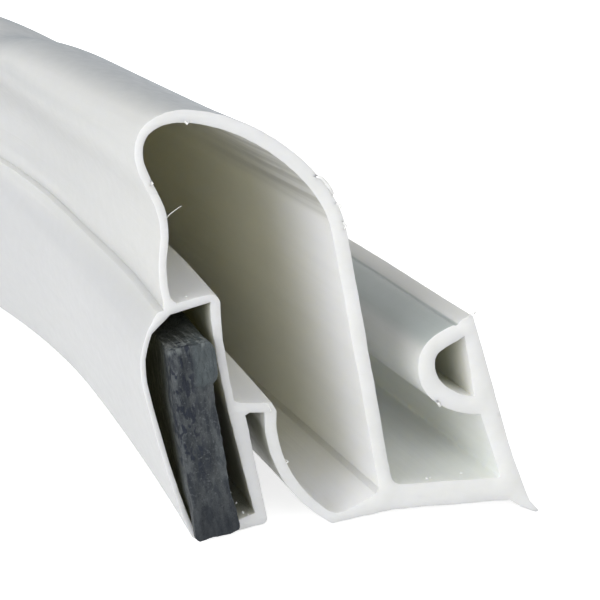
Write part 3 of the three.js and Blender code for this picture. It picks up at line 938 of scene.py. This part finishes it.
shade = blend_colours(tree, lobe_mask, shade, (0.078, 0.095, 0.1, 1))

# Whitish streaks and scuffs lie on the upper side and its edge, the scuffs on the edge with a painted
# highlight, a dark patch at the foot, and painted shade, olive, on the sides inside the pocket.
streaks = lean_cloud(0.16, (1, 0.12, 0.6), 4.0)
top_streak = multiply(
    tree,
    remap(tree, streaks, 0.5, 0.62, 0.0, 0.75),
    remap(tree, up_place, 9.1, 9.35, 0.0, 1.0),
    remap(tree, run_place, 1.6, 0.4, 0.0, 1.0),
    remap(tree, run_place, -0.7, -0.4, 0.0, 1.0))
# Whitish scuffs along the top edge near the end, with a painted highlight.
rim_scuff_and_highlight = multiply(
    tree,
    remap(tree, grain, 0.48, 0.6, 0.0, 0.8),
    remap(tree, up_place, 9.0, 9.3, 0.0, 1.0),
    remap(tree, run_place, 0.2, -0.5, 0.0, 1.0))
shade = blend_colours(tree, rim_scuff_and_highlight, shade, (0.2, 0.22, 0.22, 1))
shade = blend_colours(tree, remap(tree, up_place, 2.6, 0.4, 0.0, 0.8), shade, (0.012, 0.016, 0.021, 1))
# Painted shade, olive, on the bar where it lies inside the pocket.
shade = blend_colours(tree, remap(tree, run_place, -0.5, 0.3, 0.0, 0.7), shade, (0.036, 0.04, 0.032, 1))
shade = blend_colours(tree, top_streak, shade, (0.2, 0.21, 0.2, 1))
tree.links.new(shade, shader.inputs["Base Color"])
tree.links.new(remap(tree, grain, 0.35, 0.65, 0.48, 0.7), shader.inputs["Roughness"])
bump(tree, shader, (blotch, 0.06), (grain, 0.13), (pits, 0.14), (grit, 0.03))

magnet = finish_piece(magnet_mesh, "ferrite_strip", [ferrite], 40)
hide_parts("magnet_strip")
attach(magnet, "root")

# Floor and light
# A white floor under the strip, soft lamps to its left, in front and behind to the right, and a dim
# white room.
floor_mesh = bmesh.new()
bmesh.ops.create_grid(floor_mesh, x_segments=1, y_segments=1, size=3)
bmesh.ops.translate(floor_mesh, verts=floor_mesh.verts, vec=(0, 0, cad_low[2]))
floor = bpy.data.objects.new("floor", bpy.data.meshes.new("floor"))
floor_mesh.to_mesh(floor.data)
floor_mesh.free()
bpy.context.collection.objects.link(floor)


def plain_rays(tree, rays):
    total = rays.outputs["Is Camera Ray"]
    for name in ("Is Glossy Ray", "Is Transmission Ray"):
        node = add_node(tree, "ShaderNodeMath", {"operation": "MAXIMUM"})
        tree.links.new(total, node.inputs[0])
        tree.links.new(rays.outputs[name], node.inputs[1])
        total = node.outputs[0]
    return total


tree, shader, paper = start_material("white_paper")
shader.inputs["Base Color"].default_value = (0.86, 0.86, 0.86, 1)
shader.inputs["Roughness"].default_value = 0.9
shader.inputs["Emission Color"].default_value = (1, 1, 1, 1)
rays = add_node(tree, "ShaderNodeLightPath")
seen = add_node(tree, "ShaderNodeMath", {"operation": "MULTIPLY"})
seen.inputs[1].default_value = 0.75
tree.links.new(plain_rays(tree, rays), seen.inputs[0])
tree.links.new(seen.outputs[0], shader.inputs["Emission Strength"])
floor.data.materials.append(paper)

world = bpy.data.worlds.new("studio")
bpy.context.scene.world = world
world.use_nodes = True
tree = world.node_tree
room = tree.nodes["Background"]
rays = add_node(tree, "ShaderNodeLightPath")
level = add_node(tree, "ShaderNodeMapRange", To_Min=0.35, To_Max=1.0)
tree.links.new(plain_rays(tree, rays), level.inputs["Value"])
tree.links.new(level.outputs["Result"], room.inputs["Strength"])
room.inputs["Color"].default_value = (1, 1, 1, 1)


def add_softbox(name, place, target, size, power, colour):
    lamp = bpy.data.lights.new(name, "AREA")
    lamp.shape = "SQUARE"
    lamp.size = size
    lamp.energy = power
    lamp.color = colour
    softbox = bpy.data.objects.new(name, lamp)
    heading = Vector(target) - Vector(place)
    softbox.matrix_world = Matrix.Translation(place) @ heading.to_track_quat("-Z", "Y").to_matrix().to_4x4()
    bpy.context.collection.objects.link(softbox)


SOFTBOX_WHITE = (0.98, 0.985, 1)
NEAR_CUT = (0, 0, 0.008)
MID_RUN = (0, 0.03, 0.008)
add_softbox("side_softbox", (-0.5, -0.2, 0.16), NEAR_CUT, 0.36, 1.85, SOFTBOX_WHITE)
add_softbox("front_softbox", (-0.1, -0.5, 0.2), NEAR_CUT, 0.6, 1.62, SOFTBOX_WHITE)
add_softbox("back_softbox", (0.5, 0.4, 0.2), MID_RUN, 0.5, 1.2, SOFTBOX_WHITE)
bpy.context.scene.view_settings.view_transform = "Standard"
